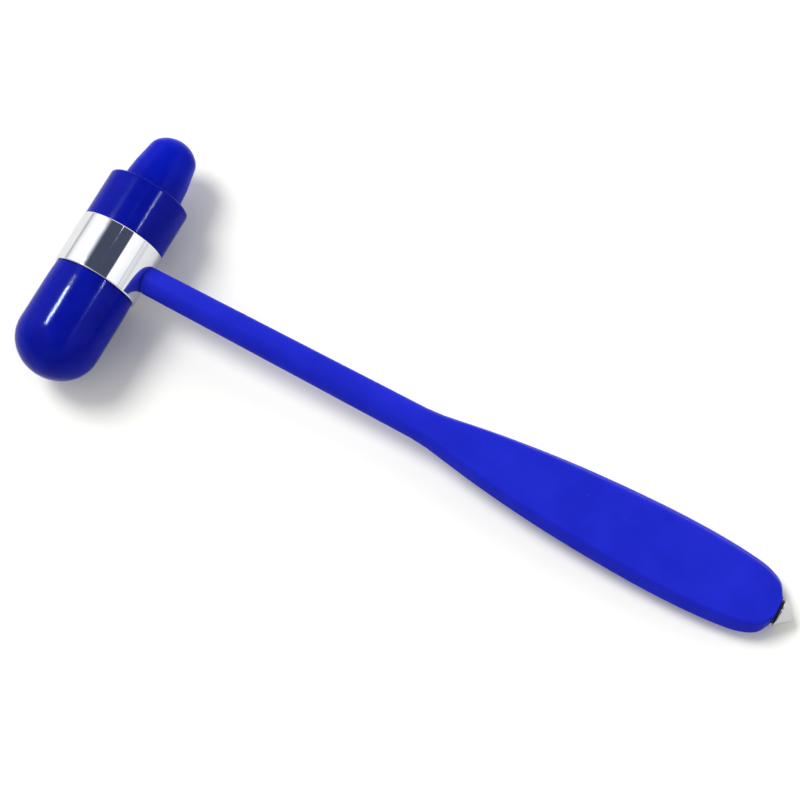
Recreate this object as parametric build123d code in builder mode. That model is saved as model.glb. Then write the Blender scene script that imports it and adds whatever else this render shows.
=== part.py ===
from build123d import *

import os

os.makedirs("parts", exist_ok=True)

# A neurological reflex hammer: a round head with a large and a small rubber mallet, and a
# blue plastic handle that widens to a flat paddle and ends in a pointed metal tip.
# The origin is the centre of the head, where the head's axis crosses the handle's axis.
# +X runs along the handle to the tip, +Y along the head to the small mallet, and +Z is
# square to the paddle's flat faces. All sizes are in millimetres.

# Fits
press_gap = 0.02
thread_gap = 0.05

# Head band: a plated sleeve that holds both mallets and the core
band_radius = 13.5
band_wall = 0.9
band_half_length = 8.3
band_rim_radius = 0.3
band_bore_radius = band_radius - band_wall

# Head core: the steel weight, with a tapped hole on each of three sides
core_radius = band_bore_radius - press_gap
core_half_length = 5.4
rod_socket_floor = 3.2
stud_socket_floor = 1.0

# Mallet studs: a threaded shank, a flange on the core, and a mushroom in the rubber
stud_thread_radius = 2.0
stud_flange_radius = 7.0
stud_flange_thickness = 1.4
stud_neck_radius = 3.0
stud_neck_length = 5.0
stud_mushroom_radius = 5.6
stud_mushroom_thickness = 2.6
stud_mushroom_round = 0.8

# Large mallet: a spigot in the band, then a cylinder with a domed end
spigot_radius = band_bore_radius - press_gap
large_mallet_radius = 12.95
large_mallet_shoulder = 28.4
large_mallet_end = 40.5

# Small mallet: the same spigot, a collar, then a tapered nose with a rounded end
collar_radius = 13.15
collar_end = 24.1
collar_edge_radius = 0.7
nose_root_radius = 9.7
nose_mid_radius = 9.1
nose_mid = 31.0
nose_tip_radius = 7.8
nose_tip_shoulder = 37.6
nose_end = 42.9
nose_end_fullness = 1.2

# Handle shaft: round beside the head, a little wider at the neck
shaft_start = 13.1
shaft_end_round = 0.8
shaft_head_radius = 4.25
neck = 108.0
neck_half_width = 5.05
neck_half_height = 4.3

# Paddle: half-widths at its middle plane, from the neck to the end facet
paddle_root = 96.0
paddle_root_half_width = 3.6
paddle_half_thickness = 4.4
paddle_face_ratio = 0.78
paddle_edge_round = 0.9
paddle_side = [
    (neck, neck_half_width),
    (130.0, 8.55),
    (155.0, 11.15),
    (187.0, 12.35),
    (206.0, 11.45),
    (213.5, 10.15),
    (217.8, 7.9),
]
paddle_end = 219.8
paddle_face_end = 219.2
facet_half_width = 4.6

# Shaft rod: screwed into the core, moulded into the handle
rod_radius = 2.5
rod_tang_start = 118.0
rod_tang_end = 146.0
rod_tang_width = 9.0
rod_tang_thickness = 3.0
rod_tang_hole_radius = 1.5
rod_tang_hole_spacing = 14.0

# Brush well and threaded insert in the paddle's end
well_radius = 2.8
well_floor = 170.0
insert_radius = 3.2
insert_length = 7.0
insert_start = paddle_end - insert_length
insert_thread_radius = 2.5
insert_groove_width = 1.0
insert_groove_depth = 0.35

# Seal ring under the pointed tip
seal_thickness = 0.9
seal_radius = 3.75
seal_bore_radius = 2.55
seal_edge_round = 0.3

# Pointed tip with its threaded stud
tip_seat = paddle_end + seal_thickness
tip_rim_radius = 4.35
tip_rim_thickness = 0.35
tip_cone_length = 4.25
tip_point_radius = 0.25
tip_thread_radius = insert_thread_radius - thread_gap
tip_thread_length = 6.5
tip_spigot_radius = 1.6
tip_spigot_length = 4.0

# Brush: a crimped ferrule and its bristles
ferrule_radius = 2.2
ferrule_length = 7.5
bristle_radius = 0.22
bristle_pitch = 0.6
bristle_rings = 2
bristles_in_first_ring = 6
bristle_length = 30.0
bristle_root_depth = 2.5


# Head core
with BuildPart() as head_core:
    with BuildSketch(Plane.XZ.offset(-core_half_length)):
        Circle(core_radius)
    extrude(amount=2 * core_half_length)
    with BuildSketch(Plane.YZ.offset(rod_socket_floor)):
        Circle(rod_radius)
    extrude(amount=core_radius, mode=Mode.SUBTRACT)
    for side in (-1, 1):
        with BuildSketch(Plane.XZ.offset(side * stud_socket_floor)):
            Circle(stud_thread_radius)
        extrude(amount=side * core_half_length, mode=Mode.SUBTRACT)
head_core.part.label = "head_core"
export_step(head_core.part, "parts/head_core.step")


# Head band
with BuildPart() as head_band:
    with BuildSketch(Plane.XZ.offset(-band_half_length)):
        Circle(band_radius)
        Circle(band_bore_radius, mode=Mode.SUBTRACT)
    extrude(amount=2 * band_half_length)
    rims = head_band.edges().filter_by(GeomType.CIRCLE).filter_by(
        lambda edge: edge.radius > band_bore_radius
    )
    fillet(rims, radius=band_rim_radius)
    with BuildSketch(Plane.YZ):
        Circle(rod_radius)
    extrude(amount=band_radius, mode=Mode.SUBTRACT)
head_band.part.label = "head_band"
export_step(head_band.part, "parts/head_band.step")


def mallet_stud(side):
    """A stud on the head's axis, on the side of +Y for side = 1 and of -Y for side = -1."""
    flange_end = core_half_length + stud_flange_thickness
    neck_end = flange_end + stud_neck_length
    mushroom_end = neck_end + stud_mushroom_thickness
    lengths = [
        (stud_thread_radius, stud_socket_floor, core_half_length),
        (stud_flange_radius, core_half_length, flange_end),
        (stud_neck_radius, flange_end, neck_end),
        (stud_mushroom_radius, neck_end, mushroom_end),
    ]
    with BuildPart() as stud:
        for radius, start, end in lengths:
            with BuildSketch(Plane.XZ.offset(-side * start)):
                Circle(radius)
            extrude(amount=-side * (end - start))
        crown = stud.edges().filter_by(GeomType.CIRCLE).sort_by(Axis.Y)[-1 if side > 0 else 0]
        fillet(crown, radius=stud_mushroom_round)
    return stud.part


large_mallet_stud = mallet_stud(-1)
large_mallet_stud.label = "large_mallet_stud"
export_step(large_mallet_stud, "parts/large_mallet_stud.step")

small_mallet_stud = mallet_stud(1)
small_mallet_stud.label = "small_mallet_stud"
export_step(small_mallet_stud, "parts/small_mallet_stud.step")


# Large mallet, moulded round its stud
with BuildPart() as large_mallet:
    with BuildSketch(Plane.XY):
        with BuildLine():
            Polyline(
                (0, -core_half_length),
                (spigot_radius, -core_half_length),
                (spigot_radius, -band_half_length),
                (large_mallet_radius, -band_half_length),
                (large_mallet_radius, -large_mallet_shoulder),
            )
            EllipticalCenterArc(
                (0, -large_mallet_shoulder),
                large_mallet_radius,
                large_mallet_end - large_mallet_shoulder,
                start_angle=270,
                arc_size=90,
            )
            Line((0, -large_mallet_end), (0, -core_half_length))
        make_face()
    revolve(axis=Axis.Y)
    add(large_mallet_stud, mode=Mode.SUBTRACT)
large_mallet.part.label = "large_mallet"
export_step(large_mallet.part, "parts/large_mallet.step")


# Small mallet, moulded round its stud
with BuildPart() as small_mallet:
    with BuildSketch(Plane.XY):
        with BuildLine():
            Polyline(
                (0, core_half_length),
                (spigot_radius, core_half_length),
                (spigot_radius, band_half_length),
                (collar_radius, band_half_length),
                (collar_radius, collar_end - collar_edge_radius),
            )
            RadiusArc(
                (collar_radius, collar_end - collar_edge_radius),
                (collar_radius - collar_edge_radius, collar_end),
                -collar_edge_radius,
            )
            Line((collar_radius - collar_edge_radius, collar_end), (nose_root_radius, collar_end))
            nose_side = Spline(
                (nose_root_radius, collar_end),
                (nose_mid_radius, nose_mid),
                (nose_tip_radius, nose_tip_shoulder),
            )
            Spline(
                nose_side @ 1,
                (0, nose_end),
                tangents=(nose_side % 1, (-1, 0)),
                tangent_scalars=(nose_end_fullness, nose_end_fullness),
            )
            Line((0, nose_end), (0, core_half_length))
        make_face()
    revolve(axis=Axis.Y)
    add(small_mallet_stud, mode=Mode.SUBTRACT)
small_mallet.part.label = "small_mallet"
export_step(small_mallet.part, "parts/small_mallet.step")


# Shaft rod
with BuildPart() as shaft_rod:
    with BuildSketch(Plane.YZ.offset(rod_socket_floor)):
        Circle(rod_radius)
    extrude(amount=rod_tang_start - rod_socket_floor)
    with BuildSketch(Plane.XY.offset(-rod_tang_thickness / 2)):
        with Locations(((rod_tang_start + rod_tang_end) / 2, 0)):
            Rectangle(rod_tang_end - rod_tang_start, rod_tang_width)
            with GridLocations(rod_tang_hole_spacing, 0, 2, 1):
                Circle(rod_tang_hole_radius, mode=Mode.SUBTRACT)
    extrude(amount=rod_tang_thickness)
shaft_rod.part.label = "shaft_rod"
export_step(shaft_rod.part, "parts/shaft_rod.step")


# Tip insert: a grooved, threaded bush moulded into the paddle's end
with BuildPart() as tip_insert:
    with BuildSketch(Plane.YZ.offset(insert_start)):
        Circle(insert_radius)
        Circle(insert_thread_radius, mode=Mode.SUBTRACT)
    extrude(amount=insert_length)
    with BuildSketch(Plane.YZ.offset(insert_start + (insert_length - insert_groove_width) / 2)):
        Circle(insert_radius)
        Circle(insert_radius - insert_groove_depth, mode=Mode.SUBTRACT)
    extrude(amount=insert_groove_width, mode=Mode.SUBTRACT)
tip_insert.part.label = "tip_insert"
export_step(tip_insert.part, "parts/tip_insert.step")


def paddle_outline(width_ratio, end):
    """The paddle seen from above, at a share of its full width, up to the facet at X = end."""
    side = [(x, width_ratio * half_width) for x, half_width in paddle_side]
    side.append((end, width_ratio * facet_half_width))
    other_side = [(x, -half_width) for x, half_width in reversed(side)]
    root = (paddle_root, width_ratio * paddle_root_half_width)
    other_root = (paddle_root, -width_ratio * paddle_root_half_width)
    with BuildLine() as outline:
        Line(other_root, root)
        Line(root, side[0])
        Spline(*side)
        Line(side[-1], other_side[0])
        Spline(*other_side)
        Line(other_side[-1], other_root)
    return outline.wire()


# Handle: shaft and paddle in one moulding, with the brush well
with BuildPart() as handle:
    for face_height in (-paddle_half_thickness, paddle_half_thickness):
        with BuildSketch(Plane.XY):
            make_face(paddle_outline(1, paddle_end).edges())
        with BuildSketch(Plane.XY.offset(face_height)):
            make_face(paddle_outline(paddle_face_ratio, paddle_face_end).edges())
        loft(ruled=True)
    paddle_rims = handle.edges().filter_by(
        lambda edge: abs(edge.center().Z) > paddle_half_thickness - paddle_edge_round
    ).filter_by(lambda edge: edge.length > facet_half_width)
    fillet(paddle_rims, radius=paddle_edge_round)
    with BuildSketch(Plane.YZ.offset(shaft_start)):
        Circle(shaft_head_radius)
    with BuildSketch(Plane.YZ.offset(neck)):
        Ellipse(neck_half_width, neck_half_height)
    loft()
    shaft_rim = handle.edges().sort_by(Axis.X)[0]
    fillet(shaft_rim, radius=shaft_end_round)
    with BuildSketch(Plane.XZ.offset(-shaft_head_radius)):
        Circle(band_radius + press_gap)
    extrude(amount=2 * shaft_head_radius, mode=Mode.SUBTRACT)
    with BuildSketch(Plane.YZ.offset(well_floor)):
        Circle(well_radius)
    extrude(amount=insert_start - well_floor, mode=Mode.SUBTRACT)
    with BuildSketch(Plane.YZ.offset(insert_start)):
        Circle(insert_thread_radius)
    extrude(amount=insert_length, mode=Mode.SUBTRACT)
    add(shaft_rod.part, mode=Mode.SUBTRACT)
    add(tip_insert.part, mode=Mode.SUBTRACT)
handle.part.label = "handle"
export_step(handle.part, "parts/handle.step")


# Seal ring: a black ring that the tip presses on the paddle's end facet
with BuildPart() as tip_seal_ring:
    with BuildSketch(Plane.YZ.offset(paddle_end)):
        Circle(seal_radius)
        Circle(seal_bore_radius, mode=Mode.SUBTRACT)
    extrude(amount=seal_thickness)
    outer_rims = tip_seal_ring.edges().filter_by(GeomType.CIRCLE).filter_by(
        lambda edge: edge.radius > seal_bore_radius
    )
    fillet(outer_rims, radius=seal_edge_round)
tip_seal_ring.part.label = "tip_seal_ring"
export_step(tip_seal_ring.part, "parts/tip_seal_ring.step")


# Pointed tip: rim, cone, threaded stud and the spigot that carries the brush
with BuildPart() as pointed_tip:
    thread_end = tip_seat - tip_thread_length
    with BuildSketch(Plane.XY):
        with BuildLine():
            Polyline(
                (tip_seat + tip_rim_thickness + tip_cone_length, 0),
                (tip_seat + tip_rim_thickness + tip_cone_length, tip_point_radius),
                (tip_seat + tip_rim_thickness, tip_rim_radius),
                (tip_seat, tip_rim_radius),
                (tip_seat, tip_thread_radius),
                (thread_end, tip_thread_radius),
                (thread_end, tip_spigot_radius),
                (thread_end - tip_spigot_length, tip_spigot_radius),
                (thread_end - tip_spigot_length, 0),
                close=True,
            )
        make_face()
    revolve(axis=Axis.X)
    point_rim = pointed_tip.edges().filter_by(GeomType.CIRCLE).sort_by(Axis.X)[-1]
    fillet(point_rim, radius=tip_point_radius)
pointed_tip.part.label = "pointed_tip"
export_step(pointed_tip.part, "parts/pointed_tip.step")


# Brush ferrule: a thin cup, crimped on the tip's spigot and closed behind the bristles' roots
ferrule_mouth = tip_seat - tip_thread_length
ferrule_end = ferrule_mouth - ferrule_length
with BuildPart() as brush_ferrule:
    with BuildSketch(Plane.YZ.offset(ferrule_end)):
        Circle(ferrule_radius)
    extrude(amount=ferrule_length)
    with BuildSketch(Plane.YZ.offset(ferrule_mouth - tip_spigot_length)):
        Circle(tip_spigot_radius)
    extrude(amount=tip_spigot_length, mode=Mode.SUBTRACT)
    with BuildSketch(Plane.YZ.offset(ferrule_end)):
        Circle(tip_spigot_radius)
    extrude(amount=bristle_root_depth, mode=Mode.SUBTRACT)
brush_ferrule.part.label = "brush_ferrule"
export_step(brush_ferrule.part, "parts/brush_ferrule.step")


# Brush bristles: separate filaments in rings round a middle one
with BuildPart() as brush_bristles:
    with BuildSketch(Plane.YZ.offset(ferrule_end + bristle_root_depth - bristle_length)):
        Circle(bristle_radius)
        for ring in range(1, bristle_rings + 1):
            with PolarLocations(ring * bristle_pitch, bristles_in_first_ring * ring):
                Circle(bristle_radius)
    extrude(amount=bristle_length)
brush_bristles.part.label = "brush_bristles"
export_step(brush_bristles.part, "parts/brush_bristles.step")
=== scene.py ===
import math

import bmesh
import bpy
from mathutils import Matrix, Vector


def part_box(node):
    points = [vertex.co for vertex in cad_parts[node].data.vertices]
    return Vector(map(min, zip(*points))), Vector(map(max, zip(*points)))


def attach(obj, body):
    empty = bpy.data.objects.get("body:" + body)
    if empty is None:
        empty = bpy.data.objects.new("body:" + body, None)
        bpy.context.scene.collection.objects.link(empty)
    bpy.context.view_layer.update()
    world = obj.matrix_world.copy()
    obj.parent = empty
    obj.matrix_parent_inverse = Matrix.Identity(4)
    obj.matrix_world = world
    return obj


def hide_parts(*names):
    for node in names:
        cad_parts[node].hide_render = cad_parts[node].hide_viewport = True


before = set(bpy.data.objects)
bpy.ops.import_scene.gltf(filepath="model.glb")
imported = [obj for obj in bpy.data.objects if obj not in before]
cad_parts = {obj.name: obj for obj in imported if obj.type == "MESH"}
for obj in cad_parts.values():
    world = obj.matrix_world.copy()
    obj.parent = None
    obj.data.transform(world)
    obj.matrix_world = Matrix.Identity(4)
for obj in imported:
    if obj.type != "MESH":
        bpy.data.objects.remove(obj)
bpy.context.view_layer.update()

# ---------------------------------------------------------------------------
# Sizes, in metres, read from the frame. The head's axis is Y and the handle's axis is X.

MM = 0.001
WELD = 0.0002 * MM

band_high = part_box("head_band")[1]
large_low, large_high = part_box("large_mallet")
small_low, small_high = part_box("small_mallet")
handle_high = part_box("handle")[1]
seal_low, seal_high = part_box("tip_seal_ring")
tip_low, tip_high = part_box("pointed_tip")
insert_low, insert_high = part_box("tip_insert")

band_radius = band_high.z
band_end = band_high.y
spigot_radius = 12.58 * MM
well_radius = 2.8 * MM
well_floor = 170 * MM
tip_rim = 0.35 * MM
facet_round = 0.7 * MM
facet_inset = 2.2 * MM
hole_gap = 0.03 * MM
band_gap = 0.02 * MM
head_gap = 0.05 * MM
dome_steps = 32
band_segments = 192
mallet_segments = 160
tip_segments = 96
paddle_half_width = handle_high.y
paddle_half_height = handle_high.z
facet_x = handle_high.x


def smooth(value, start, end):
    """0 below start, 1 above end, and a smooth step between."""
    t = min(1.0, max(0.0, (value - start) / (end - start)))
    return t * t * (3 - 2 * t)


def mix(a, b, t):
    return a + (b - a) * t


# ---------------------------------------------------------------------------
# Mesh helpers


def make_piece(name, points, faces, body, node, material):
    """A closed, smooth-shaded mesh that rides on a body and stands for a CAD node."""
    mesh = bpy.data.meshes.new(name)
    mesh.from_pydata([tuple(p) for p in points], [], faces)
    shell = bmesh.new()
    shell.from_mesh(mesh)
    bmesh.ops.remove_doubles(shell, verts=shell.verts, dist=WELD)
    bmesh.ops.recalc_face_normals(shell, faces=shell.faces)
    shell.to_mesh(mesh)
    shell.free()
    mesh.validate()
    mesh.polygons.foreach_set("use_smooth", [True] * len(mesh.polygons))
    mesh.materials.append(material)
    piece = bpy.data.objects.new(name, mesh)
    bpy.context.scene.collection.objects.link(piece)
    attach(piece, body)
    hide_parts(node)
    return piece


def rounded_outline(corners, steps=8, hold=0.12 * MM):
    """An open outline of (along, out, radius) corners, each rounded to its radius by an arc,
    with a point held close to both ends of each arc so that flat stretches shade flat."""
    outline = [Vector(corners[0][:2])]
    for before, corner, after in zip(corners, corners[1:], corners[2:]):
        here = Vector(corner[:2])
        back = Vector(before[:2]) - here
        ahead = Vector(after[:2]) - here
        turn = math.pi - back.angle(ahead)
        reach = min(
            corner[2] * math.tan(turn / 2), 0.49 * back.length, 0.49 * ahead.length
        )
        if corner[2] == 0 or turn < 1e-4:
            outline.append(here)
            continue
        radius = reach / math.tan(turn / 2)
        back.normalize()
        ahead.normalize()
        centre = here + (back + ahead).normalized() * radius / math.cos(turn / 2)
        first = here + back * reach - centre
        last = here + ahead * reach - centre
        held = min(hold, 0.3 * reach)
        outline.append(centre + first + back * held)
        for step in range(steps + 1):
            outline.append(centre + arc_point(first, last, step / steps))
        outline.append(centre + last + ahead * held)
    outline.append(Vector(corners[-1][:2]))
    return outline


def arc_point(first, last, share):
    """The point at a share of the arc from first to last, both measured from its centre."""
    whole = first.angle(last)
    side = math.sin(whole)
    return first * (math.sin((1 - share) * whole) / side) + last * (
        math.sin(share * whole) / side
    )


def turned(outline, along_x, segments):
    """Points and faces of an outline of (along, out) turned about X or about Y.
    The outline's ends are closed to the axis where they lie on it, and otherwise to each
    other."""
    points, rings = [], []
    for along, out in outline:
        if out < 1e-7:
            rings.append([len(points)])
            points.append((along, 0, 0) if along_x else (0, along, 0))
            continue
        rings.append(list(range(len(points), len(points) + segments)))
        for k in range(segments):
            angle = 2 * math.pi * k / segments
            across, up = out * math.cos(angle), out * math.sin(angle)
            points.append((along, across, up) if along_x else (across, along, up))
    if len(rings[0]) > 1 and len(rings[-1]) > 1:
        rings.append(rings[0])
    faces = []
    for ring, following in zip(rings, rings[1:]):
        for k in range(segments):
            a, b = ring[k % len(ring)], ring[(k + 1) % segments % len(ring)]
            c, d = following[(k + 1) % segments % len(following)], following[k % len(following)]
            corner = [a, b, c, d]
            faces.append([p for i, p in enumerate(corner) if p not in corner[:i]])
    if along_x:
        faces = [face[::-1] for face in faces]
    return points, faces


# ---------------------------------------------------------------------------
# Materials


class Shader:
    """A short way to write a node material round one Principled shader."""

    def __init__(self, name):
        self.material = bpy.data.materials.new(name)
        self.material.use_nodes = True
        self.tree = self.material.node_tree
        self.principled = self.tree.nodes["Principled BSDF"]
        self.place = self.add("ShaderNodeTexCoord").outputs["Object"]

    def add(self, kind, **settings):
        node = self.tree.nodes.new(kind)
        for key, value in settings.items():
            setattr(node, key, value)
        return node

    def link(self, source, target):
        self.tree.links.new(source, target)

    def set(self, **values):
        for key, value in values.items():
            self.principled.inputs[key.replace("_", " ")].default_value = value

    def noise(self, scale, detail=3.0, roughness=0.55, stretch=(1, 1, 1)):
        """Noise in the object's own space; scale is in grains per metre."""
        mapping = self.add("ShaderNodeMapping")
        mapping.inputs["Scale"].default_value = stretch
        self.link(self.place, mapping.inputs["Vector"])
        node = self.add("ShaderNodeTexNoise")
        node.inputs["Scale"].default_value = scale
        node.inputs["Detail"].default_value = detail
        node.inputs["Roughness"].default_value = roughness
        self.link(mapping.outputs["Vector"], node.inputs["Vector"])
        return node.outputs["Fac"]

    def dots(self, scale, size):
        """1 at the middle of scattered dots and 0 off them; size is a share of their spacing."""
        node = self.add("ShaderNodeTexVoronoi")
        node.inputs["Scale"].default_value = scale
        self.link(self.place, node.inputs["Vector"])
        return self.span(node.outputs["Distance"], size, 0, 0, 1)

    def span(self, source, low, high, to_low, to_high):
        """The source carried from one range to another, and kept inside it."""
        node = self.add("ShaderNodeMapRange")
        values = (low, high, to_low, to_high)
        for socket, value in zip(("From Min", "From Max", "To Min", "To Max"), values):
            node.inputs[socket].default_value = value
        self.link(source, node.inputs["Value"])
        return node.outputs["Result"]

    def math(self, operation, a, b):
        node = self.add("ShaderNodeMath", operation=operation)
        for socket, value in zip(node.inputs, (a, b)):
            if isinstance(value, (int, float)):
                socket.default_value = value
            else:
                self.link(value, socket)
        return node.outputs["Value"]

    def colours(self, share, first, second):
        """Goes from the first colour to the second as the share goes from 0 to 1."""
        node = self.add("ShaderNodeMix", data_type="RGBA")
        self.link(share, node.inputs["Factor"])
        node.inputs[6].default_value = (*first, 1)
        node.inputs[7].default_value = (*second, 1)
        return node.outputs[2]

    def bump(self, height, depth):
        """Raises the surface by the height, times a depth in metres."""
        node = self.add("ShaderNodeBump")
        node.inputs["Strength"].default_value = 1
        node.inputs["Distance"].default_value = depth
        self.link(height, node.inputs["Height"])
        self.link(node.outputs["Normal"], self.principled.inputs["Normal"])


def blue_rubber():
    """Moulded rubber with a soft gloss: a fine orange peel and faint mottling, and painted light:
    the small mallet's nose gets a lighter blue that stands for the stronger light falling on it.
    """
    s = Shader("blue_rubber")
    s.set(Specular_IOR_Level=0.035)
    mottle = s.span(s.noise(160, detail=4), 0.3, 0.7, 0, 1)
    split = s.add("ShaderNodeSeparateXYZ")
    s.link(s.place, split.inputs["Vector"])
    # Painted light: from 23 to 34 mm along Y the blue goes lighter, standing for the stronger light
    # on the small mallet's nose.
    nose = s.span(split.outputs["Y"], 23 * MM, 34 * MM, 0, 1)
    body_blue = s.colours(mottle, (0.0022, 0.0052, 0.225), (0.0032, 0.0074, 0.275))
    nose_painted_light_blue = s.colours(mottle, (0.0018, 0.0072, 0.350), (0.0026, 0.0094, 0.400))
    colour = s.add("ShaderNodeMix", data_type="RGBA")
    s.link(nose, colour.inputs["Factor"])
    s.link(body_blue, colour.inputs[6])
    s.link(nose_painted_light_blue, colour.inputs[7])
    s.link(colour.outputs[2], s.principled.inputs["Base Color"])
    grain = s.noise(2600, detail=3)
    smears = s.noise(420, detail=4, stretch=(1, 0.35, 1))
    gloss = s.math("ADD", s.span(smears, 0.3, 0.7, 0.1, 0.16), s.span(grain, 0.3, 0.7, -0.02, 0.02))
    s.link(gloss, s.principled.inputs["Roughness"])
    peel = s.math("ADD", grain, s.math("MULTIPLY", s.noise(700), 2.5))
    s.bump(peel, 0.006 * MM)
    return s.material


def blue_plastic():
    """Satin moulded plastic: fine spark grain, hairline scratches and a few pale specks."""
    s = Shader("blue_plastic")
    s.set(Specular_IOR_Level=0.02)
    cloud = s.noise(90, detail=5)
    specks = s.dots(190, 0.06)
    scratches = s.span(s.noise(900, detail=2, stretch=(0.06, 1, 1)), 0.66, 0.72, 0, 1)
    base = s.colours(
        s.span(cloud, 0.3, 0.7, 0, 1), (0.0090, 0.0150, 0.405), (0.0125, 0.0195, 0.480)
    )
    pale = s.add("ShaderNodeMix", data_type="RGBA")
    s.link(s.math("MULTIPLY", specks, 0.3), pale.inputs["Factor"])
    s.link(base, pale.inputs[6])
    pale.inputs[7].default_value = (0.10, 0.12, 0.66, 1)
    s.link(pale.outputs[2], s.principled.inputs["Base Color"])
    grain = s.noise(3800, detail=2)
    satin = s.math("ADD", s.span(grain, 0.3, 0.7, 0.34, 0.44), s.math("MULTIPLY", scratches, -0.08))
    s.link(satin, s.principled.inputs["Roughness"])
    relief = s.math("ADD", grain, s.math("MULTIPLY", s.noise(260, detail=2), 3))
    relief = s.math("ADD", relief, s.math("MULTIPLY", specks, 2.5))
    relief = s.math("SUBTRACT", relief, s.math("MULTIPLY", scratches, 0.5))
    s.bump(relief, 0.006 * MM)
    return s.material


def chrome_plate(name, dark, light):
    """Bright plating: a nearly clean mirror with hairlines along the turning and faint smears."""
    s = Shader(name)
    s.set(Metallic=1.0)
    tint = s.noise(120, detail=3)
    s.link(
        s.colours(s.span(tint, 0.3, 0.7, 0, 1), dark, light),
        s.principled.inputs["Base Color"],
    )
    smears = s.noise(240, detail=4)
    hairlines = s.noise(5200, detail=2, stretch=(0.05, 1, 0.05))
    rough = s.math(
        "ADD", s.span(smears, 0.35, 0.7, 0.015, 0.045), s.span(hairlines, 0.6, 0.8, 0, 0.03)
    )
    s.link(rough, s.principled.inputs["Roughness"])
    s.bump(s.math("ADD", s.noise(60, detail=1), s.math("MULTIPLY", hairlines, 0.04)), 0.012 * MM)
    return s.material


def worked_metal(name, dark, light, lines):
    """Bare metal with turning marks: dark and light ends of its colour, and the marks' pitch."""
    s = Shader(name)
    s.set(Metallic=1.0)
    s.link(s.colours(s.noise(500), dark, light), s.principled.inputs["Base Color"])
    marks = s.noise(lines, detail=2, stretch=(1, 0.08, 0.08))
    s.link(s.span(marks, 0.3, 0.7, 0.24, 0.4), s.principled.inputs["Roughness"])
    s.bump(marks, 0.01 * MM)
    return s.material


def black_rubber():
    """The seal ring's rubber: nearly black, with a soft gloss and a trace of dust."""
    s = Shader("black_rubber")
    dust = s.noise(1500, detail=4)
    s.link(
        s.colours(s.span(dust, 0.45, 0.75, 0, 1), (0.006, 0.006, 0.007), (0.022, 0.021, 0.022)),
        s.principled.inputs["Base Color"],
    )
    s.link(s.span(dust, 0.3, 0.7, 0.12, 0.22), s.principled.inputs["Roughness"])
    s.bump(s.noise(1800), 0.003 * MM)
    return s.material


def white_nylon():
    """Brush filament: slightly yellow, with streaks along its length."""
    s = Shader("white_nylon")
    s.set(Subsurface_Weight=0.2, Subsurface_Scale=0.0005)
    streaks = s.noise(1200, stretch=(0.05, 1, 1))
    s.link(
        s.colours(streaks, (0.70, 0.68, 0.60), (0.86, 0.85, 0.80)),
        s.principled.inputs["Base Color"],
    )
    s.link(s.span(streaks, 0.3, 0.7, 0.3, 0.45), s.principled.inputs["Roughness"])
    s.bump(streaks, 0.01 * MM)
    return s.material


rubber = blue_rubber()
plastic = blue_plastic()
band_chrome = chrome_plate("band_chrome", (0.64, 0.655, 0.69), (0.69, 0.705, 0.74))
# Painted shade: the tip's plating is a darker copy of the band's, standing for the dimmer
# surroundings the tip reflects.
tip_chrome_painted_shade = chrome_plate("tip_chrome_painted_shade", (0.42, 0.43, 0.45), (0.50, 0.51, 0.53))
steel = worked_metal("plain_steel", (0.42, 0.42, 0.44), (0.58, 0.58, 0.60), 3200)
brass = worked_metal("brass", (0.56, 0.38, 0.13), (0.74, 0.53, 0.22), 3200)
seal_rubber = black_rubber()
nylon = white_nylon()


# ---------------------------------------------------------------------------
# Head


def make_band():
    """The plated sleeve, with rolled rims and a wall that shows where the mallets enter it."""
    rim = 0.42 * MM
    inner = spigot_radius + band_gap
    tuck = 1.2 * MM
    corners = [
        (-band_end + tuck, inner, 0),
        (-band_end, inner, 0.16 * MM),
        (-band_end, band_radius, rim),
        (band_end, band_radius, rim),
        (band_end, inner, 0.16 * MM),
        (band_end - tuck, inner, 0),
    ]
    points, faces = turned(rounded_outline(corners), along_x=False, segments=band_segments)
    return make_piece(
        "band_sleeve", points, faces, "hammer", "head_band", band_chrome
    )


def make_large_mallet():
    """A spigot in the band, then a cylinder of rubber with a softened step at the band and
    an elliptical dome."""
    radius = large_high.x
    step_y = -band_end - head_gap
    pinch = 0.22 * MM
    shoulder = large_low.y * 0.702
    length = shoulder - large_low.y
    outline = rounded_outline(
        [
            (large_high.y, 0, 0),
            (large_high.y, spigot_radius, 0.3 * MM),
            (step_y, spigot_radius, 0),
            (step_y, radius - pinch, 0.2 * MM),
            (step_y - 3 * MM, radius - 0.3 * pinch, 8 * MM),
            (step_y - 7 * MM, radius, 30 * MM),
            (shoulder, radius, 0),
        ]
    )
    for step in range(1, dome_steps + 1):
        angle = math.pi / 2 * step / dome_steps
        outline.append(
            Vector((shoulder - length * math.sin(angle), radius * math.cos(angle)))
        )
    outline[-1].y = 0
    points, faces = turned([tuple(p) for p in outline], along_x=False, segments=mallet_segments)
    faces = [face[::-1] for face in faces]
    return make_piece(
        "large_mallet_rubber", points, faces, "hammer", "large_mallet", rubber
    )


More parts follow.
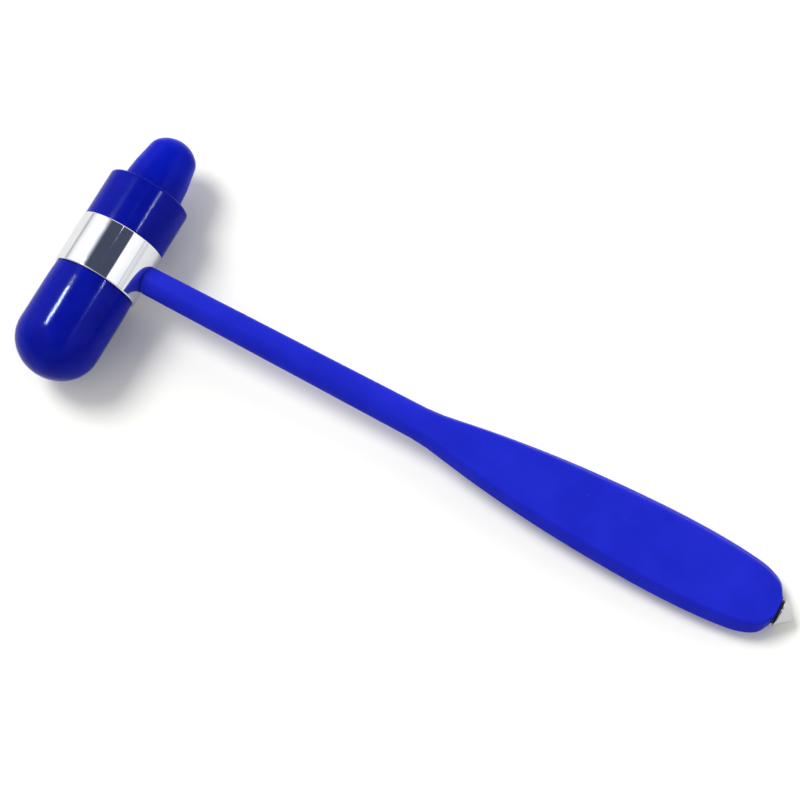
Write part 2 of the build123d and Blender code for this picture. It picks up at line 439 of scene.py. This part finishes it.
def make_small_mallet():
    """A collar with a softened edge, and a nose that tapers to a rounded end."""
    collar = small_high.x
    step_y = band_end + head_gap
    collar_end = small_high.y * 0.5618
    nose_root = collar * 0.738
    nose_tip = collar * 0.593
    nose_shoulder = small_high.y * 0.8765
    outline = rounded_outline(
        [
            (small_low.y, 0, 0),
            (small_low.y, spigot_radius, 0.3 * MM),
            (step_y, spigot_radius, 0),
            (step_y, collar, 0.25 * MM),
            (collar_end, collar, 0.9 * MM),
            (collar_end, nose_root, 0.5 * MM),
            (mix(collar_end, nose_shoulder, 0.5), mix(nose_root, nose_tip, 0.36), 20 * MM),
            (nose_shoulder, nose_tip, 0),
        ]
    )
    slope = (nose_root - nose_tip) * 0.64 / (0.5 * (nose_shoulder - collar_end))
    length = small_high.y - nose_shoulder
    for step in range(1, dome_steps + 1):
        angle = math.pi / 2 * step / dome_steps
        fade = math.sin(angle) * math.cos(angle)
        outline.append(
            Vector(
                (
                    nose_shoulder + length * math.sin(angle),
                    nose_tip * math.cos(angle) - slope * length * fade,
                )
            )
        )
    outline[-1].y = 0
    points, faces = turned([tuple(p) for p in outline], along_x=False, segments=mallet_segments)
    return make_piece(
        "small_mallet_rubber", points, faces, "hammer", "small_mallet", rubber
    )


# ---------------------------------------------------------------------------
# Handle: sections from the head to the end facet. Each is a flat-faced shape with sloping
# sides and round corners on the paddle, and an ellipse on the shaft.

shaft_radius = 4.25 * MM
neck_x = 108 * MM
neck_half_width = 5.05 * MM
neck_half_height = 4.3 * MM
corner_radius = 1.5 * MM
facet_half_width = 4.6 * MM
paddle_side = [
    (neck_x, neck_half_width),
    (130 * MM, 8.55 * MM),
    (155 * MM, 11.15 * MM),
    (187 * MM, paddle_half_width),
    (206 * MM, 11.45 * MM),
    (213.5 * MM, 10.15 * MM),
    (217.8 * MM, 7.9 * MM),
    (facet_x, facet_half_width),
]


def curve_through(points, steps):
    """A smooth line through the points: a Catmull-Rom curve paced by the root of each span."""
    whole = [Vector(p) for p in points]
    whole = [whole[0] * 2 - whole[1], *whole, whole[-1] * 2 - whole[-2]]
    line = []
    for a, b, c, d in zip(whole, whole[1:], whole[2:], whole[3:]):
        t0 = 0
        t1 = t0 + math.sqrt((b - a).length)
        t2 = t1 + math.sqrt((c - b).length)
        t3 = t2 + math.sqrt((d - c).length)
        for step in range(steps):
            t = mix(t1, t2, step / steps)
            ab = a * ((t1 - t) / (t1 - t0)) + b * ((t - t0) / (t1 - t0))
            bc = b * ((t2 - t) / (t2 - t1)) + c * ((t - t1) / (t2 - t1))
            cd = c * ((t3 - t) / (t3 - t2)) + d * ((t - t2) / (t3 - t2))
            abc = ab * ((t2 - t) / (t2 - t0)) + bc * ((t - t0) / (t2 - t0))
            bcd = bc * ((t3 - t) / (t3 - t1)) + cd * ((t - t1) / (t3 - t1))
            line.append(abc * ((t2 - t) / (t2 - t1)) + bcd * ((t - t1) / (t2 - t1)))
    line.append(whole[-2])
    return line


def section(half_width, half_height, inset, flatness):
    """One section's points (y, z): flatness 0 is an ellipse, 1 the paddle's flat-faced shape."""
    reach = min(corner_radius, half_height * 0.9)
    top = max(half_width - inset, 0.3 * MM)
    side = half_width - reach
    slope = math.atan2(half_height - reach, side - top)
    flat_normal, wall_normal = math.pi / 2, math.pi / 2 - slope
    quarter = []
    for step in range(9):
        quarter.append((top * step / 9, half_height))
    for step in range(7):
        angle = mix(flat_normal, wall_normal, step / 6)
        quarter.append(
            (top + reach * math.cos(angle), half_height - reach + reach * math.sin(angle))
        )
    start = quarter[-1]
    end = (side + reach * math.cos(wall_normal), reach * math.sin(wall_normal))
    for step in range(1, 4):
        quarter.append((mix(start[0], end[0], step / 4), mix(start[1], end[1], step / 4)))
    for step in range(5):
        angle = mix(wall_normal, 0, step / 4)
        quarter.append((side + reach * math.cos(angle), reach * math.sin(angle)))
    blended = []
    for y, z in quarter:
        angle = math.atan2(z / half_height, y / half_width)
        round_y = half_width * math.cos(angle)
        round_z = half_height * math.sin(angle)
        blended.append((mix(round_y, y, flatness), mix(round_z, z, flatness)))
    right = blended
    lower_right = [(y, -z) for y, z in reversed(right[:-1])]
    lower_left = [(-y, -z) for y, z in right[1:]]
    left = [(-y, z) for y, z in reversed(right[1:-1])]
    return right + lower_right + lower_left + left


def handle_stations():
    """(x, half-width, half-height) down the handle, with the shaft's start and the paddle's
    end rounded off."""
    stations = []
    shaft_round = 0.9 * MM
    start = band_radius - 0.3 * MM
    for step in range(9):
        angle = math.pi / 2 * step / 8
        inward = shaft_round * (1 - math.sin(angle))
        x = start + shaft_round * (1 - math.cos(angle))
        stations.append((x, shaft_radius - inward, shaft_radius - inward))
    for step in range(1, 41):
        share = step / 40
        x = mix(start + shaft_round, neck_x - 3 * MM, share)
        along = (x - start) / (neck_x - start)
        stations.append(
            (
                x,
                mix(shaft_radius, neck_half_width, along),
                mix(shaft_radius, neck_half_height, along),
            )
        )
    for point in curve_through(paddle_side, 16)[2:]:
        growth = smooth(point.x, neck_x, neck_x + 20 * MM)
        height = mix(neck_half_height, paddle_half_height, growth)
        stations.append((point.x, point.y, height))
    return stations


def make_handle():
    points, faces = [], []
    rings = []
    stations = handle_stations()
    for x, half_width, half_height in stations:
        flatness = smooth(x, neck_x - 16 * MM, neck_x + 16 * MM)
        inset = mix(2.5 * MM, 3.1 * MM, smooth(x, neck_x + 8 * MM, neck_x + 62 * MM))
        outline = section(half_width, half_height, inset, flatness)
        near_band = 1 - smooth(x, band_radius, band_radius + 6 * MM)
        ring = []
        for y, z in outline:
            saddle = band_radius - math.sqrt(band_radius**2 - z**2)
            ring.append(len(points))
            points.append((x - saddle * near_band, y, z))
        rings.append(ring)
    count = len(rings[0])

    last = stations[-1]
    insert_hole = insert_high.z + hole_gap

    def cap_ring(x, shrink, towards_hole, hole=insert_hole):
        """A ring at X, drawn in from the end section's outline, part or all of the way to a
        round hole."""
        ring = []
        end_section = section(last[1] - shrink, last[2] - shrink, facet_inset - shrink, 1)
        for y, z in end_section:
            angle = math.atan2(z, y)
            ring.append(len(points))
            points.append(
                (
                    x,
                    mix(y, hole * math.cos(angle), towards_hole),
                    mix(z, hole * math.sin(angle), towards_hole),
                )
            )
        rings.append(ring)

    for step in range(1, 7):
        angle = math.pi / 2 * step / 6
        drop = facet_round * (1 - math.sin(angle))
        cap_ring(facet_x - drop, facet_round * (1 - math.cos(angle)), 0)
    cap_ring(facet_x, facet_round, 0.25)
    cap_ring(facet_x, facet_round, 0.95)
    cap_ring(facet_x - 0.1 * MM, facet_round, 1)
    cap_ring(facet_x - 0.4 * MM, facet_round, 1)
    cap_ring(insert_low.x, facet_round, 1)
    cap_ring(insert_low.x, facet_round, 1, well_radius)
    cap_ring(well_floor, facet_round, 1, well_radius)

    for ring, following in zip(rings, rings[1:]):
        for k in range(count):
            after = (k + 1) % count
            faces.append([ring[k], ring[after], following[after], following[k]])
    faces += [rings[0][::-1], rings[-1]]
    return make_piece("handle_moulding", points, faces, "hammer", "handle", plastic)


# ---------------------------------------------------------------------------
# Tip end


def make_seal():
    radius, bore = seal_high.z, 2.55 * MM
    corners = [
        (seal_low.x + 0.02 * MM, bore, 0),
        (seal_low.x + 0.02 * MM, radius, 0.4 * MM),
        (seal_high.x - 0.02 * MM, radius, 0.4 * MM),
        (seal_high.x - 0.02 * MM, bore, 0),
    ]
    points, faces = turned(rounded_outline(corners), along_x=True, segments=tip_segments)
    return make_piece(
        "seal_ring", points, faces, "tip_seal", "tip_seal_ring", seal_rubber
    )


def make_tip():
    """The pointed tip: a turned rim, a cone with a blunted point, and the threaded stud with
    its thread cut in."""
    seat = seal_high.x
    rim_radius = tip_high.z
    stud = 2.45 * MM
    spigot = 1.6 * MM
    thread_end = seat - 6.5 * MM
    corners = [
        (tip_high.x, 0, 0),
        (tip_high.x - 0.03 * MM, 0.24 * MM, 0.1 * MM),
        (seat + tip_rim, rim_radius, 0.1 * MM),
        (seat, rim_radius, 0.1 * MM),
        (seat, stud, 0.05 * MM),
    ]
    pitch = 0.8 * MM
    turns = 7
    groove = 0.33 * MM
    for turn in range(turns):
        start = seat - 0.6 * MM - turn * pitch
        corners += [
            (start, stud, 0),
            (start - 0.35 * pitch, stud - groove, 0),
            (start - 0.5 * pitch, stud - groove, 0),
            (start - 0.85 * pitch, stud, 0),
        ]
    corners += [
        (thread_end, stud - 0.2 * MM, 0),
        (thread_end, spigot, 0),
        (tip_low.x, spigot, 0),
        (tip_low.x, 0, 0),
    ]
    points, faces = turned(rounded_outline(corners), along_x=True, segments=tip_segments)
    faces = [face[::-1] for face in faces]
    return make_piece("tip_turned", points, faces, "tip", "pointed_tip", tip_chrome_painted_shade)


# ---------------------------------------------------------------------------
# CAD nodes that stay as they are, with their finishes


def finish_cad_nodes():
    finishes = {
        "head_core": steel,
        "large_mallet_stud": steel,
        "small_mallet_stud": steel,
        "shaft_rod": steel,
        "tip_insert": brass,
        "brush_ferrule": brass,
        "brush_bristles": nylon,
    }
    for node, material in finishes.items():
        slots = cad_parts[node].material_slots
        for slot in slots:
            slot.material = material


make_band()
make_large_mallet()
make_small_mallet()
make_handle()
make_seal()
make_tip()
finish_cad_nodes()


# ---------------------------------------------------------------------------
# Floor: the hammer lies on the band and on its far end, where the paddle's corner or the
# tip's rim is the lower, so the floor is tilted against the handle by the angle at which both
# touch it.


def tilt_under(x, z):
    """The floor's tilt when it touches the band and the point at X, Z."""
    return math.asin(band_radius / math.hypot(x, z)) + math.atan2(z, x)


tilt = min(
    tilt_under(facet_x - 0.4 * MM, -paddle_half_height),
    tilt_under(seal_high.x + tip_rim, -tip_high.z),
)
floor_frame = Matrix.Rotation(-tilt, 4, "Y")


def floor_material():
    s = Shader("pale_floor")
    s.set(Specular_IOR_Level=0.1, Roughness=0.7)
    s.link(
        s.colours(s.noise(14, detail=4), (0.872, 0.862, 0.808), (0.892, 0.882, 0.828)),
        s.principled.inputs["Base Color"],
    )
    s.bump(s.noise(900), 0.02 * MM)
    return s.material


def make_floor():
    half = 2.0
    low = -band_radius - 0.03 * MM
    corners = [(-half, -half), (half, -half), (half, half), (-half, half)]
    points = [tuple(floor_frame @ Vector((x, y, low))) for x, y in corners]
    mesh = bpy.data.meshes.new("floor")
    mesh.from_pydata(points, [], [(0, 1, 2, 3)])
    mesh.materials.append(floor_material())
    floor = bpy.data.objects.new("floor", mesh)
    bpy.context.scene.collection.objects.link(floor)


make_floor()


# ---------------------------------------------------------------------------
# Light: a white room with a dark patch overhead, a soft sun that lights but isn't reflected,
# and three lamps that are only seen in reflections

scene = bpy.context.scene
scene.view_settings.view_transform = "Standard"
scene.view_settings.look = "None"


def make_room():
    """The world's brightness by direction: white all round, dark in a patch overhead."""
    room = bpy.data.worlds.new("studio")
    scene.world = room
    room.use_nodes = True
    tree = room.node_tree
    background = tree.nodes["Background"]
    place = tree.nodes.new("ShaderNodeTexCoord")
    split = tree.nodes.new("ShaderNodeSeparateXYZ")
    tree.links.new(place.outputs["Generated"], split.inputs["Vector"])

    def math_node(operation, a, b):
        node = tree.nodes.new("ShaderNodeMath")
        node.operation = operation
        for socket, value in zip(node.inputs, (a, b)):
            if isinstance(value, (int, float)):
                socket.default_value = value
            else:
                tree.links.new(value, socket)
        return node.outputs["Value"]

    def edge(source, start, end):
        """Goes from 0 to 1 as the source goes from start to end."""
        node = tree.nodes.new("ShaderNodeMapRange")
        node.interpolation_type = "SMOOTHSTEP"
        node.inputs["From Min"].default_value = start
        node.inputs["From Max"].default_value = end
        tree.links.new(source, node.inputs["Value"])
        return node.outputs["Result"]

    def times(a, b):
        return math_node("MULTIPLY", a, b)

    def plus(a, b):
        return math_node("ADD", a, b)

    x, y, z = (split.outputs[axis] for axis in "XYZ")
    height = math_node("MAXIMUM", z, 0.05)
    across = math_node("DIVIDE", x, height)
    along = math_node("DIVIDE", y, height)
    left_edge = plus(-0.25, times(along, -1.0))
    patch = times(
        edge(math_node("SUBTRACT", across, left_edge), -0.32, 0.08),
        edge(across, 0.81, 0.69),
    )
    patch = times(patch, edge(along, 1.1, 0.7))
    glint_x = times(math_node("SUBTRACT", across, 0.11), 28)
    glint_y = times(math_node("SUBTRACT", along, 0.275), 33)
    glint = edge(plus(times(glint_x, glint_x), times(glint_y, glint_y)), 1, 0.4)
    wall = times(
        plus(1.1, times(edge(z, 0.0, 0.5), 0.5)),
        plus(0.4, times(edge(y, -0.75, 0.12), 0.6)),
    )
    wall = times(wall, plus(0.85, times(edge(x, 0.95, 0.6), 0.15)))
    ahead = times(edge(x, 0.9, 0.95), times(edge(y, -0.13, -0.04), edge(y, 0.09, 0.0)))
    wall = times(wall, plus(1, times(ahead, -0.65)))
    horizon = times(edge(z, 0.16, 0.03), edge(x, 0.0, -0.4))
    wall = times(wall, plus(1, times(horizon, -0.35)))
    stripe = times(edge(across, 2.6, 3.0), edge(across, 3.7, 3.2))
    wall = times(wall, plus(1, times(stripe, -0.25)))
    walls = tree.nodes.new("ShaderNodeCombineColor")
    for socket in walls.inputs:
        tree.links.new(wall, socket)

    def blend(share, first, second):
        node = tree.nodes.new("ShaderNodeMix")
        node.data_type = "RGBA"
        tree.links.new(share, node.inputs["Factor"])
        for socket, colour in ((node.inputs[6], first), (node.inputs[7], second)):
            if isinstance(colour, tuple):
                socket.default_value = colour
            else:
                tree.links.new(colour, socket)
        return node.outputs[2]

    colour = blend(patch, walls.outputs["Color"], (0.087, 0.101, 0.152, 1))
    colour = blend(glint, colour, (5, 4.5, 5, 1))
    tree.links.new(colour, background.inputs["Color"])
    background.inputs["Strength"].default_value = 1


def make_lamp(name, direction, aim, distance, size, power, colour=(0.72, 0.86, 1)):
    """A lamp that only shows in glossy reflections, at a distance from the point it faces.
    Its size is (along the head, across it)."""
    data = bpy.data.lights.new(name, "AREA")
    data.shape = "ELLIPSE"
    data.size, data.size_y = size
    data.energy = power
    data.color = colour
    lamp = bpy.data.objects.new(name, data)
    lamp.location = Vector(aim) + Vector(direction).normalized() * distance
    lamp.rotation_mode = "QUATERNION"
    lamp.rotation_quaternion = Vector(direction).to_track_quat("Z", "Y")
    lamp.visible_diffuse = False
    bpy.context.scene.collection.objects.link(lamp)


def make_sun(name, direction, spread, strength):
    """A very soft light from far off, seen only as light and not in reflections."""
    data = bpy.data.lights.new(name, "SUN")
    data.angle = math.radians(spread)
    data.energy = strength
    sun = bpy.data.objects.new(name, data)
    sun.rotation_mode = "QUATERNION"
    sun.rotation_quaternion = Vector(direction).to_track_quat("Z", "Y")
    sun.visible_glossy = False
    bpy.context.scene.collection.objects.link(sun)


make_room()
make_sun("soft_key", (-0.60, 0.12, 0.78), 26, 2.1)
make_lamp("left_lamp", (-0.54, 0.182, 0.82), (0, -28 * MM, 0), 0.8, (0.05, 0.11), 10)
make_lamp("right_lamp", (0.62, 0.258, 0.74), (0, 17 * MM, 0), 0.8, (0.02, 0.05), 1.4)
make_lamp("right_spot", (0.62, 0.205, 0.74), (0, -10 * MM, 0), 0.8, (0.01, 0.04), 0.25)


# ---------------------------------------------------------------------------
# Camera


def make_camera():
    azimuth, elevation = math.radians(28.59), math.radians(74.35)
    distance = 0.52
    aim = Vector((97.1 * MM, 3.5 * MM, 0))
    back = Vector(
        (
            math.sin(azimuth) * math.cos(elevation),
            -math.cos(azimuth) * math.cos(elevation),
            math.sin(elevation),
        )
    )
    data = bpy.data.cameras.new("camera")
    data.sensor_width = 36
    data.lens = 80.2
    data.clip_start = 0.01
    camera = bpy.data.objects.new("camera", data)
    camera.location = aim + back * distance
    camera.rotation_mode = "QUATERNION"
    camera.rotation_quaternion = (-back).to_track_quat("-Z", "Y")
    bpy.context.scene.collection.objects.link(camera)
    scene.camera = camera


make_camera()
